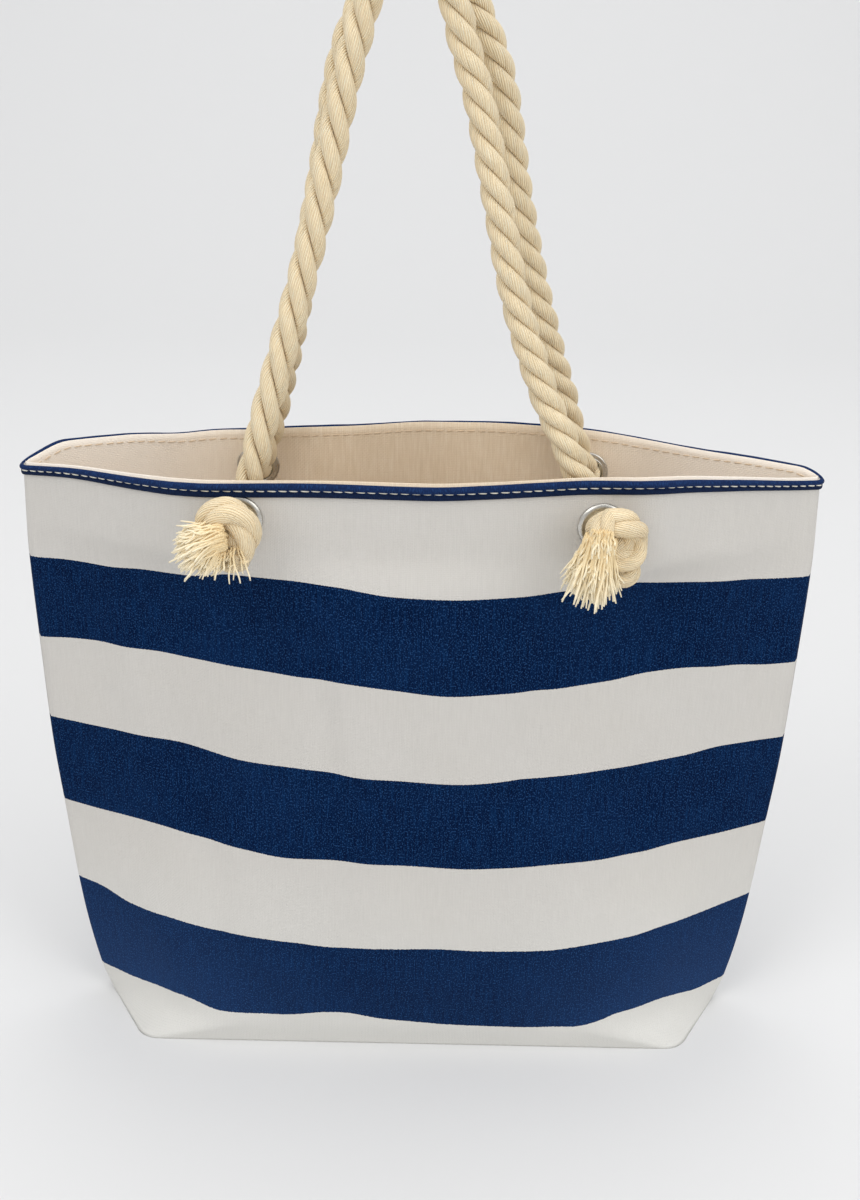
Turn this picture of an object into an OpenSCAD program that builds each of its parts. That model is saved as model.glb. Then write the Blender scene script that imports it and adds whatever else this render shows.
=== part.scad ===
// Soft canvas beach tote with twisted rope handles.
// Millimetres, +Z up, origin at the middle of the flat base.
// The front of the bag faces -Y.

/* [Bag] */
// Width from side seam to side seam at mid height, mm
bag_width = 444; // [420:470]
// Height of the rim at the middle of a panel, mm
bag_height = 376; // [356:396]
// Depth from front wall to back wall at the rim, mm
bag_depth = 100; // [94:112]
// How far the rim dips at the side seams, mm
rim_dip = 11; // [4:14]
// Thickness of the striped outer cloth, mm
cloth_t = 1.2; // [1:0.1:1.4]
// Thickness of the plain lining cloth, mm
lining_t = 1.0; // [0.8:0.1:1.2]
// Height of the turned band around the rim, mm
band_h = 7.5; // [6.5:0.5:7.5]

/* [Rope] */
// Diameter of the twisted rope, mm
rope_d = 16; // [13:0.5:16]
// Distance between the two eyelets of one panel, mm
eyelet_spacing = 192; // [184:196]
// Rise of a handle from its bending line to its top, mm
handle_rise = 228; // [200:250]

/* [Hidden] */
sx = bag_width/444;
sy = bag_depth/100;
sz = bag_height/376;
wall_y = 50*sy;
rope_r = rope_d/2;
rs = rope_d/16;
eye_x = eyelet_spacing/2;
eye_z = bag_height - 22;
// the holes at the back sit a little lower
eye_z_back = bag_height - 29;
$eye_z = eye_z;
bore_r = rope_r + 0.3;
hole_r = bore_r + 0.8;
flange_r = bore_r + 5.2;
pivot_y = wall_y - 14;
pivot_z = bag_height + 22;
gap = 0.3;
cols = 24;
sides = 12;
fold_t = 0.6;

canvas = [0.90, 0.88, 0.84];
navy = [0.10, 0.16, 0.30];
cream = [0.87, 0.81, 0.72];
steel = [0.78, 0.79, 0.81];
cotton = [0.90, 0.84, 0.73];

// ---------- shape of the soft body ----------

// half width at the side seam, by height
function half_width(z) = sx*lookup(z/sz,
    [[0, 196], [20, 202], [78, 211], [136, 215.5], [194, 219.5], [252, 221], [310, 222], [376, 220]]);
// half width of the flat front, by height
function flat_half(z) = lookup(z/sz,
    [[0, 168*sx], [20, 128*sx], [78, 110*sx], [136, 85*sx], [194, 65*sx], [252, 60*sx],
     [310, 75*sx], [334, eye_x + 36], [400, eye_x + 36]]);
// distance of the flat front from the middle plane, by height
function half_depth(z) = sy*lookup(z/sz,
    [[0, 50], [20, 54], [78, 56], [136, 55], [252, 55], [310, 54], [334, 50], [400, 50]]);
// softness of the fold between flat front and side
function fold_round(z) = lookup(z/sz, [[0, 10], [20, 30], [310, 28], [334, 10], [400, 10]]);

// a point of the section at height z; t runs -1..1 from seam to seam,
// e is the distance inward from the outer face
function sec(z, t, e = 0) = let(
    w0 = half_width(z), k0 = flat_half(z), d0 = half_depth(z),
    l0 = norm([w0 - k0, d0]), a = atan2(d0, w0 - k0),
    w = w0 - e*l0/d0, k = k0 - e*tan(a/2), d = d0 - e,
    l = norm([w - k, d]), r = min(fold_round(z), 0.45*l),
    s = abs(t) < fold_t ? k*abs(t)/fold_t : k + l*(abs(t) - fold_t)/(1 - fold_t),
    side = [(w - k)/l, -d/l],
    q = (s - k + r)/(2*r),
    p = abs(t) > 0.9999 ? [w, 0]
      : s <= k - r ? [s, d]
      : s >= k + r ? [k, d] + side*(s - k)
      : (1 - q)*(1 - q)*[k - r, d] + 2*q*(1 - q)*[k, d] + q*q*([k, d] + side*r))
    [sign(t)*p[0], -p[1]];

function rim_z(t) = bag_height - rim_dip*pow(abs(t), 4);
heights = [0, 8, 20, 48, 78, 107, 136, 165, 194, 223, 252, 281, 310, 334];
rows = len(heights);

function tcol(i) = -1 + 2*i/cols;
// one point of a cloth face: row j, column i, inset e, lowest height z0, extra height at the rim
function cloth_pt(j, i, e, z0, up) = let(
    z = j == 0 ? z0 : j == rows ? rim_z(tcol(i)) + up : heights[j]*sz,
    p = sec(z, tcol(i), e)) [p[0], p[1], z];

// a half shell of cloth: front wall, half of the two sides and half of the base
module half_shell(e0, e1, z0, z1, up) {
    m = cols + 1;
    base = (rows + 1)*m;
    pts = concat(
        [for (j = [0:rows], i = [0:cols]) cloth_pt(j, i, e0, z0, up)],
        [for (j = [0:rows], i = [0:cols]) cloth_pt(j, i, e1, z1, up)],
        [[0, -wall_y/2, z0], [0, -wall_y/2, z1]]);
    mid = 2*base;
    o = function(j, i) j*m + i;
    n = function(j, i) base + j*m + i;
    faces = concat(
        [for (j = [0:rows-1], i = [0:cols-1]) each
            [[o(j,i), o(j+1,i), o(j+1,i+1)], [o(j,i), o(j+1,i+1), o(j,i+1)],
             [n(j,i), n(j+1,i+1), n(j+1,i)], [n(j,i), n(j,i+1), n(j+1,i+1)]]],
        [for (i = [0:cols-1]) each
            [[o(rows,i), n(rows,i), n(rows,i+1)], [o(rows,i), n(rows,i+1), o(rows,i+1)]]],
        [for (j = [0:rows-1]) each
            [[o(j,0), n(j,0), n(j+1,0)], [o(j,0), n(j+1,0), o(j+1,0)],
             [o(j,cols), o(j+1,cols), n(j+1,cols)], [o(j,cols), n(j+1,cols), n(j,cols)]]],
        [[o(0,0), o(0,cols), n(0,cols)], [o(0,0), n(0,cols), n(0,0)]],
        [for (i = [0:cols-1]) each [[mid, o(0,i), o(0,i+1)], [mid+1, n(0,i+1), n(0,i)]]],
        [[mid, o(0,cols), o(0,0)], [mid+1, n(0,0), n(0,cols)]]);
    polyhedron(pts, faces, convexity = 6);
}

// the pair of round holes for the eyelets
module eyelet_holes() {
    for (s = [-1, 1]) translate([s*eye_x, -wall_y - 10, $eye_z])
        rotate([-90, 0, 0]) cylinder(r = hole_r, h = 20, $fn = 48);
}

module outer_half() {
    difference() {
        half_shell(0, cloth_t, 0, cloth_t, 0);
        eyelet_holes();
    }
}

module lining_half() {
    a = cloth_t + gap;
    b = a + lining_t;
    difference() {
        half_shell(a, b, a, b, 1.2);
        eyelet_holes();
    }
}

// ---------- swept shapes ----------

function unit(v) = v/norm(v);
function ring(p, t, ref, r, n) = let(u = unit(cross(t, ref)), w = cross(u, t))
    [for (i = [0:n-1]) p + r*(cos(360*i/n)*u + sin(360*i/n)*w)];
function tangents(p) = let(m = len(p) - 1)
    [for (i = [0:m]) unit(p[min(i+1, m)] - p[max(i-1, 0)])];

// closed skin over a list of rings with the same number of points
module skin(rings) {
    n = len(rings[0]);
    m = len(rings);
    polyhedron([for (r = rings) each r],
        concat(
            [for (j = [0:m-2], i = [0:n-1]) let(a = j*n, b = a + n, k = (i+1) % n) each
                [[a+i, a+k, b+k], [a+i, b+k, b+i]]],
            [[for (i = [n-1:-1:0]) i]],
            [[for (i = [0:n-1]) (m-1)*n + i]]),
        convexity = 6);
}

// turned band on the outside of the rim: flat lower half, full rolled upper half
module band_half() {
    profile = [[-0.3, -band_h], [-1.1, -band_h], [-1.2, -0.56*band_h], [-1.9, -0.47*band_h],
        [-2.3, -0.26*band_h], [-1.9, -0.5], [-1.0, 0], [-0.3, 0]];
    skin([for (i = [0:cols]) let(t = tcol(i))
        [for (q = profile) let(z = rim_z(t) + q[1], p = sec(z, t, q[0])) [p[0], p[1], z]]]);
}

// ---------- metal eyelets ----------

// mirrored to the back, at the height of the back holes
module at_back() {
    $eye_z = eye_z_back;
    mirror([0, 1, 0]) children();
}

module on_wall(x) {
    translate([x, -wall_y, $eye_z]) rotate([90, 0, 0]) children();
}

stack = cloth_t + gap + lining_t;
// barrel with a domed flange outside and a thin lip curled over the washer inside
module eyelet() {
    mid = (bore_r + flange_r)/2;
    half = (flange_r - bore_r)/2;
    rotate_extrude($fn = 64) polygon(concat(
        [for (a = [0:15:180]) [mid + half*cos(a), 0.05 + 1.85*sin(a)]],
        [[bore_r, -stack - 1.3], [bore_r + 1.9, -stack - 1.25], [bore_r + 1.9, -stack - 0.95],
         [bore_r + 0.6, -stack - 0.95], [bore_r + 0.6, 0.05]]));
}

// flat ring pressed against the lining
module washer() {
    translate([0, 0, -stack - 0.9]) difference() {
        cylinder(r = flange_r - 0.6, h = 0.8, $fn = 64);
        translate([0, 0, -1]) cylinder(r = bore_r + 0.75, h = 3, $fn = 64);
    }
}

// ---------- rope ----------

// fixed rope: from the knot through the eyelet, up the inside of the bag to the bending line
module rope_end(x0, x1) {
    d = 10;
    y0 = -wall_y + 4;
    xat = function(z) let(q = (z - $eye_z)/(pivot_z - $eye_z)) x0 + (x1 - x0)*(1.3*q - 0.3*q*q);
    route = concat(
        [[x0, -wall_y - 4, $eye_z], [x0, -wall_y, $eye_z]],
        [for (a = [0:15:90]) let(z = $eye_z + d - d*cos(a)) [xat(z), y0 + d*sin(a), z]],
        [for (k = [1:4]) let(z = $eye_z + d + (pivot_z - $eye_z - d)*k/4) [xat(z), y0 + d, z]]);
    tan = tangents(route);
    m = len(route) - 1;
    skin(concat(
        [for (i = [0:m]) ring(route[i], tan[i], [1, 0, 0], rope_r, sides)],
        [for (b = [20, 40, 60, 75])
            ring(route[m] + tan[m]*rope_r*sin(b), tan[m], [1, 0, 0], rope_r*cos(b), sides)]));
}

function spline(p, i, u) = 0.5*(2*p[i] + (p[i+1] - p[i-1])*u
    + (2*p[i-1] - 5*p[i] + 4*p[i+1] - p[i+2])*u*u
    + (3*p[i] - p[i-1] - 3*p[i+1] + p[i+2])*u*u*u);

// ring cut at the slanted plane that keeps the moving rope clear of the fixed one
function cut_ring(p, t, inward) = let(n = [0, 0.5*inward, sqrt(0.75)], d = rope_r + 0.6)
    [for (q = ring(p, t, [0, 1, 0], rope_r, sides)) q + t*((d - n*(q - p))/(n*t))];

// moving rope loop; a route point is [x, share of the pivot depth, height above the bending line]
module rope_loop(route, inward) {
    p = [for (q = route) [q[0], -inward*q[1]*pivot_y, pivot_z + q[2]*handle_rise/228]];
    m = len(p) - 1;
    mid = concat([for (i = [1:m-2], k = [0:4]) spline(p, i, k/5)], [p[m-1]]);
    tan = tangents(mid);
    skin(concat(
        [cut_ring(p[0], unit(p[1] - p[0]), inward)],
        [for (i = [0:len(mid)-1]) ring(mid[i], tan[i], [0, 1, 0], rope_r, sides)],
        [[for (q = cut_ring(p[m], unit(p[m-1] - p[m]), inward)) q]]));
}

front_route = [[-84, 1, 0], [-78, 0.92, 22], [-64.5, 0.75, 69], [-52, 0.58, 118], [-42, 0.40, 165],
    [-35, 0.31, 192], [-26, 0.25, 219], [-9, 0.25, 228], [8, 0.25, 219], [17, 0.31, 190],
    [25, 0.40, 165], [35.5, 0.58, 118], [46.5, 0.75, 69], [63, 0.92, 22], [74, 1, 0]];
back_route = [[-81, 1, 0], [-75.5, 0.92, 22], [-66, 0.75, 67], [-56, 0.58, 114], [-47, 0.40, 163],
    [-40, 0.31, 190], [-27, 0.25, 216], [-8, 0.25, 228], [15, 0.25, 216], [30, 0.31, 190],
    [38.5, 0.40, 163], [47.5, 0.58, 114], [58.5, 0.75, 67], [71.5, 0.92, 22], [79, 1, 0]];

// ---------- knots and frayed ends (built on the wall, +Z away from the bag) ----------

module ball(x, y, out, r) {
    translate([x*rs, y*rs, out*rs]) sphere(r = r*rs, $fn = 16);
}

// stopper knot: three full turns of rope pulled tight on a short neck
module knot(extra = 0) {
    hull() {
        translate([0, 0, 4.1]) cylinder(r = rope_r + extra, h = 2, $fn = 24);
        ball(-7, 4, 14, 9 + extra);
        ball(7, 4, 14, 9 + extra);
        ball(0, 2, 28, 9.5 + extra);
    }
    hull() {
        ball(-8, -10, 19, 9 + extra);
        ball(8, -8, 16, 9 + extra);
        ball(1, -14, 28, 9 + extra);
    }
    hull() {
        ball(-7, -2, 31, 9 + extra);
        ball(7, -8, 32, 8.5 + extra);
    }
}

// loose brush of yarns beyond the knot
module frayed_end(dx, dy, dout) {
    difference() {
        hull() {
            ball(-4, -12, 24, 6);
            ball(-4 + 0.7*dx, -12 + 0.7*dy, 24 + 0.7*dout, 8);
            ball(-4 + dx - 2, -12 + dy - 2, 24 + dout, 6.5);
            ball(-4 + dx + 3, -12 + dy, 24 + dout - 3, 6);
        }
        knot(0.15);
    }
}

// ---------- nodes ----------

module outer_front() { color(canvas) outer_half(); }
module outer_back() { color(canvas) at_back() outer_half(); }
module lining_front() { color(cream) lining_half(); }
module lining_back() { color(cream) at_back() lining_half(); }
module rim_band_front() { color(navy) band_half(); }
module rim_band_back() { color(navy) at_back() band_half(); }
module eyelet_front_left() { color(steel) on_wall(-eye_x) eyelet(); }
module eyelet_front_right() { color(steel) on_wall(eye_x) eyelet(); }
module eyelet_back_left() { color(steel) at_back() on_wall(-eye_x) eyelet(); }
module eyelet_back_right() { color(steel) at_back() on_wall(eye_x) eyelet(); }
module washer_front_left() { color(steel) on_wall(-eye_x) washer(); }
module washer_front_right() { color(steel) on_wall(eye_x) washer(); }
module washer_back_left() { color(steel) at_back() on_wall(-eye_x) washer(); }
module washer_back_right() { color(steel) at_back() on_wall(eye_x) washer(); }
module rope_end_front_left() { color(cotton) rope_end(-eye_x, front_route[0][0]); }
module rope_end_front_right() { color(cotton) rope_end(eye_x, front_route[14][0]); }
module rope_end_back_left() { color(cotton) at_back() rope_end(-eye_x, back_route[0][0]); }
module rope_end_back_right() { color(cotton) at_back() rope_end(eye_x, back_route[14][0]); }
module knot_front_left() { color(cotton) on_wall(-eye_x) knot(); }
module knot_front_right() { color(cotton) on_wall(eye_x) knot(); }
module knot_back_left() { color(cotton) at_back() on_wall(-eye_x) knot(); }
module knot_back_right() { color(cotton) at_back() on_wall(eye_x) knot(); }
module frayed_end_front_left() { color(cotton) on_wall(-eye_x) frayed_end(-22, -8, 6); }
module frayed_end_front_right() { color(cotton) on_wall(eye_x) frayed_end(-6, -22, 8); }
module frayed_end_back_left() { color(cotton) at_back() on_wall(-eye_x) frayed_end(-6, -22, 8); }
module frayed_end_back_right() { color(cotton) at_back() on_wall(eye_x) frayed_end(-10, -20, 8); }
module rope_loop_front() { color(cotton) rope_loop(front_route, 1); }
module rope_loop_back() { color(cotton) rope_loop(back_route, -1); }

outer_front();
outer_back();
lining_front();
lining_back();
rim_band_front();
rim_band_back();
eyelet_front_left();
eyelet_front_right();
eyelet_back_left();
eyelet_back_right();
washer_front_left();
washer_front_right();
washer_back_left();
washer_back_right();
rope_end_front_left();
rope_end_front_right();
rope_end_back_left();
rope_end_back_right();
knot_front_left();
knot_front_right();
knot_back_left();
knot_back_right();
frayed_end_front_left();
frayed_end_front_right();
frayed_end_back_left();
frayed_end_back_right();
rope_loop_front();
rope_loop_back();
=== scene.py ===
import bpy
import math
import numpy as np
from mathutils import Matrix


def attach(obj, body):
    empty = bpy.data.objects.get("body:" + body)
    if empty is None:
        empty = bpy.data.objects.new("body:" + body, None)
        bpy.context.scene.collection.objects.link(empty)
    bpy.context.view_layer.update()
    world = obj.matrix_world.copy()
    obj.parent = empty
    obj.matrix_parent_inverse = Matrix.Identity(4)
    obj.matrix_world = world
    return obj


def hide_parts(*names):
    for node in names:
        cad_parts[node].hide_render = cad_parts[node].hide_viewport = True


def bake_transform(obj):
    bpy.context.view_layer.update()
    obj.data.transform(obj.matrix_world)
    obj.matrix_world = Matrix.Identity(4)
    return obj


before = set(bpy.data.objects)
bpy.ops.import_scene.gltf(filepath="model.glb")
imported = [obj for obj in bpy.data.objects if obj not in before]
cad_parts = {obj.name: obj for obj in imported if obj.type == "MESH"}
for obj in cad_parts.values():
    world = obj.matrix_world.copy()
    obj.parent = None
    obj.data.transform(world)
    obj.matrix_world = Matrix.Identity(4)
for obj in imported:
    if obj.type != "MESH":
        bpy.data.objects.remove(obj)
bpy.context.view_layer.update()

# ---------------------------------------------------------------- shape of the cloth body (mm)


def curve(table, x):
    """smooth monotone curve through a small table"""
    xs = np.array([p[0] for p in table], float)
    ys = np.array([p[1] for p in table], float)
    h = np.diff(xs)
    d = np.diff(ys) / h
    m = np.zeros(len(xs))
    m[0], m[-1] = d[0], d[-1]
    for i in range(1, len(xs) - 1):
        if d[i - 1] * d[i] > 0:
            w1, w2 = 2 * h[i] + h[i - 1], h[i] + 2 * h[i - 1]
            m[i] = (w1 + w2) / (w1 / d[i - 1] + w2 / d[i])
    x = np.clip(np.asarray(x, float), xs[0], xs[-1])
    i = np.clip(np.searchsorted(xs, x) - 1, 0, len(h) - 1)
    s = (x - xs[i]) / h[i]
    return (
        (1 + 2 * s) * (1 - s) ** 2 * ys[i]
        + s * (1 - s) ** 2 * h[i] * m[i]
        + s * s * (3 - 2 * s) * ys[i + 1]
        + s * s * (s - 1) * h[i] * m[i + 1]
    )


def smooth(a, b, x):
    s = np.clip((np.asarray(x, float) - a) / (b - a), 0, 1)
    return s * s * (3 - 2 * s)


WIDTH = [(0, 196), (20, 202), (78, 211), (136, 215.5), (194, 219.5), (252, 221), (310, 222), (376, 220), (400, 220)]
FLAT = [(0, 168), (20, 128), (78, 110), (136, 86), (194, 67), (252, 62), (310, 80), (334, 122), (400, 122)]
DEPTH = [(0, 50), (20, 54), (78, 56), (136, 55), (252, 55), (310, 54), (336, 50), (400, 50)]
ROUND = [(0, 10), (20, 32), (78, 42), (252, 42), (310, 34), (334, 12), (400, 12)]
FOLD_T = 0.6
SEAM_R = 5.5
H = 376.0


def section(z, t, e=0.0):
    """point (x, y<0) and outward normal of the section at height z, e further in; t runs -1..1 between the side seams.
    A flat front as far as the soft fold at k, a slanting side, and a small round turn at the side seam."""
    z, t, e = np.broadcast_arrays(np.asarray(z, float), np.asarray(t, float), np.asarray(e, float))
    w0, k0, d0 = curve(WIDTH, z), curve(FLAT, z), curve(DEPTH, z)
    a = np.arctan2(d0, w0 - k0)
    for _ in range(3):
        a = np.arctan2(d0, w0 + SEAM_R / np.sin(a) - SEAM_R - k0)
    k, d, r0 = k0 - e * np.tan(a / 2), d0 - e, SEAM_R - e
    # the slanting side runs from (k, d) to where the round turn starts
    ex, ey = w0 - SEAM_R + r0 * np.sin(a), r0 * np.cos(a)
    l = np.hypot(ex - k, d - ey)
    arc = r0 * (math.pi / 2 - a)
    r = np.minimum(curve(ROUND, z), 0.45 * l)
    at = np.abs(t)
    s = np.where(at < FOLD_T, k * at / FOLD_T, k + (l + arc) * (at - FOLD_T) / (1 - FOLD_T))
    sx, sy = np.cos(a), -np.sin(a)
    q = np.clip((s - k + r) / (2 * r), 0, 1)
    bx = (1 - q) ** 2 * (k - r) + 2 * q * (1 - q) * k + q * q * (k + sx * r)
    by = (1 - q) ** 2 * d + 2 * q * (1 - q) * d + q * q * (d + sy * r)
    on_arc = s > k + l
    b = np.clip((s - k - l) / np.maximum(r0, 0.1), 0, math.pi / 2)
    g = a + b
    x = np.where(s <= k - r, s, np.where(s >= k + r, k + sx * (s - k), bx))
    y = np.where(s <= k - r, d, np.where(s >= k + r, d + sy * (s - k), by))
    x = np.where(on_arc, w0 - SEAM_R + r0 * np.sin(g), x)
    y = np.where(on_arc, r0 * np.cos(g), y)
    nx = np.where(s <= k - r, 0, -sy * np.where(s >= k + r, 1, q))
    ny = np.where(s <= k - r, 1, 1 + (sx - 1) * np.where(s >= k + r, 1, q))
    nx = np.where(on_arc, np.sin(g), nx)
    ny = np.where(on_arc, np.cos(g), ny)
    n = np.hypot(nx, ny)
    y = np.where(at > 0.99999, 0.0, y)
    sg = np.sign(t)
    return sg * x, -y, sg * nx / n, -ny / n

MM = 0.001
rng = np.random.default_rng(11)

# the print on the front panel is not quite level: by how much each stripe edge rises, along x
EDGES = [310, 252, 194, 136, 78, 20]
RISE = {
    310: [(-218, -1.5), (-198, 0.5), (-175, 1), (-150, 3.5), (-126, 4), (-100, 10), (-74, 9.5), (-46, 7), (-14, 2), (20, 1), (50, 3), (80, 6), (106, 7.5), (130, 4.5), (155, 2), (180, 0), (200, -2.5), (218, -4)],
    252: [(-218, 5.5), (-198, 8.5), (-175, 10), (-150, 10), (-126, 8.5), (-100, 6.5), (-74, 7), (-46, 6.5), (-14, 3), (20, -0.5), (50, 1), (80, 1.5), (106, 2), (130, 5), (155, 5.5), (180, 3), (200, 0), (218, -1)],
    194: [(-218, 10), (-198, 10), (-175, 10), (-150, 10), (-126, 8.5), (-100, 6), (-74, 6.5), (-46, 5), (-14, 2), (20, 0), (50, 1.5), (80, 3.5), (106, 3.5), (130, 3), (155, 4.5), (180, 7), (200, 7), (218, 6.5)],
    136: [(-218, 9.5), (-198, 9), (-175, 8.5), (-150, 8), (-126, 5.5), (-100, 5), (-74, 3), (-46, 4), (-14, 1.5), (20, 0.5), (50, 0.5), (80, 2), (106, 1), (130, 0), (155, 2), (180, 2.5), (200, 3), (218, 4)],
    78: [(-218, 12), (-198, 10.5), (-175, 4.5), (-150, 5.5), (-126, 5), (-100, 5), (-74, 3.5), (-46, 0.5), (-14, 0.5), (20, 2), (50, 0.5), (80, 1), (106, 3), (130, 3.5), (155, 6), (180, 6.5), (200, 8), (218, 9.5)],
    20: [(-198, 1), (-180, 2.5), (-160, 6), (-140, 8.5), (-118, 4), (-84, 3.5), (-48, 7.5), (-14, 2), (20, -0.5), (60, -2), (98, -2.5), (112, 1), (130, 7), (148, 8), (166, 4.5), (184, 0.5), (198, 0.5)],
}
RIM_FRONT = [(-220, 364), (-189, 368.2), (-162, 370.2), (-141, 372.2), (-119, 374), (-98, 374.2), (-48, 375), (5, 374.6), (35, 376), (62, 378), (90, 380), (118, 380.5), (166, 374), (208, 366.5), (220, 365)]
RIM_BACK = [(-220, 364), (-197, 372.5), (-169, 371.8), (-133, 368), (-102, 368.5), (-77, 370.2), (-39, 372.3), (4, 375.6), (36, 375.8), (67, 374.6), (93, 372.8), (130, 368.7), (160, 368.3), (188, 368.6), (209, 368.6), (220, 365)]


def rim_height(side, x):
    return curve(RIM_FRONT if side < 0 else RIM_BACK, x)


def bump(x, z, cx, cz, wx, wz, tilt=0.0):
    c, s = math.cos(math.radians(tilt)), math.sin(math.radians(tilt))
    dx, dz = x - cx, z - cz
    a, b = (dx * c + dz * s) / wx, (-dx * s + dz * c) / wz
    return np.exp(-(a * a + b * b))


# soft folds and dents of the hanging cloth: x, z, half sizes across and along, tilt, height in mm
FOLDS = {
    -1: [
        (-100, 288, 26, 40, 8, -5.5), (108, 292, 30, 42, -8, -5.5), (0, 300, 60, 40, 0, 2.0),
        (-52, 235, 9, 60, 6, -1.8), (64, 240, 9, 70, -5, -1.6), (-128, 160, 12, 70, 10, -2.2),
        (128, 150, 12, 70, -8, -1.8), (-30, 150, 14, 90, 3, 1.4), (30, 110, 16, 80, -4, 1.5),
        (-100, 45, 16, 34, 30, -3.0), (98, 30, 14, 26, -28, -2.6), (-150, 60, 14, 34, 22, 2.2),
        (150, 60, 16, 40, -18, 2.0), (-165, 250, 12, 60, 4, 1.8), (165, 255, 12, 60, -4, 1.8),
        (10, 30, 60, 10, 0, -1.2),
    ],
    1: [
        (-104, 288, 28, 40, -8, -5.0), (102, 292, 28, 42, 8, -5.0), (5, 290, 60, 44, 0, 2.2),
        (-60, 200, 10, 80, 5, -1.8), (58, 220, 9, 70, -6, -1.8), (-130, 150, 13, 70, 8, -2.0),
        (126, 160, 12, 76, -8, -2.0), (0, 130, 18, 90, 0, 1.6), (-96, 40, 16, 32, 26, -3.0),
        (100, 36, 15, 30, -26, -2.8), (-160, 240, 13, 60, 3, 2.0), (162, 250, 12, 60, -3, 1.8),
    ],
}


def relief(side, x, z):
    """how far the cloth stands out from its plain shape, in mm"""
    d = np.zeros(np.broadcast(x, z).shape)
    for cx, cz, wx, wz, tilt, h in FOLDS[side]:
        d = d + h * bump(x, z, cx, cz, wx, wz, tilt)
    ph = 0.0 if side < 0 else 1.7
    d = d + 0.45 * np.sin(x / 23.0 + 0.9 * np.sin(z / 61.0) + ph) * np.sin(z / 47.0 + 0.6 * np.sin(x / 53.0) + ph)
    d = d + 0.2 * np.sin(x / 8.7 + 1.3 * np.sin(z / 37.0 + ph)) * smooth(20, 120, z)
    keep = 1 - smooth(318, 336, z) * (1 - smooth(124, 150, np.abs(x)))
    return d * keep * smooth(0, 26, z)


def body_point(side, t, z, e=0.0):
    x, y, nx, ny = section(z, t, e)
    fade = 1 - smooth(0.9, 1.0, np.abs(t))
    d = relief(side, x, z) * fade
    x, y = x + nx * d, y + ny * d
    y = np.minimum(y, 0.0)
    if side > 0:
        y, ny = -y, -ny
    return x, y, nx, ny


def print_height(side, x, z):
    """where a point lies in the striped print, in mm above the base fold"""
    if side > 0:
        return z + 1.5 * np.sin(x / 60.0) + 2.0
    hs = np.array([400, 352] + EDGES + [-60], float)
    rise = np.array([np.zeros_like(x), np.zeros_like(x)] + [curve(RISE[h], x) for h in EDGES] + [np.zeros_like(x)])
    at = hs[:, None] + rise.reshape(len(hs), -1)
    out = np.empty(x.size)
    zf = z.ravel()
    for i in range(x.size):
        out[i] = np.interp(zf[i], at[::-1, i], hs[::-1])
    return out.reshape(x.shape)


# ---------------------------------------------------------------- mesh helpers


def make_mesh(name, verts_mm, faces, uvs=None, smooth_shade=True):
    me = bpy.data.meshes.new(name)
    v = np.asarray(verts_mm, float) * MM
    me.from_pydata(v.tolist(), [], [list(map(int, f)) for f in faces])
    if uvs is not None:
        layer = me.uv_layers.new(name="UVMap")
        layer.data.foreach_set("uv", np.asarray(uvs, float).ravel())
    me.validate()
    me.update()
    if smooth_shade:
        me.polygons.foreach_set("use_smooth", [True] * len(me.polygons))
    ob = bpy.data.objects.new(name, me)
    bpy.context.scene.collection.objects.link(ob)
    return ob


def grid_faces(n, m, off=0, flip=False, wrap=False):
    j, i = np.meshgrid(np.arange(n - 1), np.arange(m if wrap else m - 1), indexing="ij")
    k = (i + 1) % m
    a, b, c, d = off + j * m + i, off + j * m + k, off + (j + 1) * m + k, off + (j + 1) * m + i
    f = np.stack([a, b, c, d] if not flip else [d, c, b, a], -1)
    return f.reshape(-1, 4)


def loop_uv(faces, uv):
    return np.concatenate([uv[np.asarray(f)] for f in faces])


# ---------------------------------------------------------------- cloth panels

COLS, BASE_ROWS = 168, 10
EYE_HEIGHT = {-1: 354.0, 1: 347.0}


def panel_rows():
    z = np.concatenate([[0, 1.5, 3, 5, 8, 11, 15, 20, 26, 33], np.linspace(41, 334, 84), np.linspace(338, 366, 10)])
    return z


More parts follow.
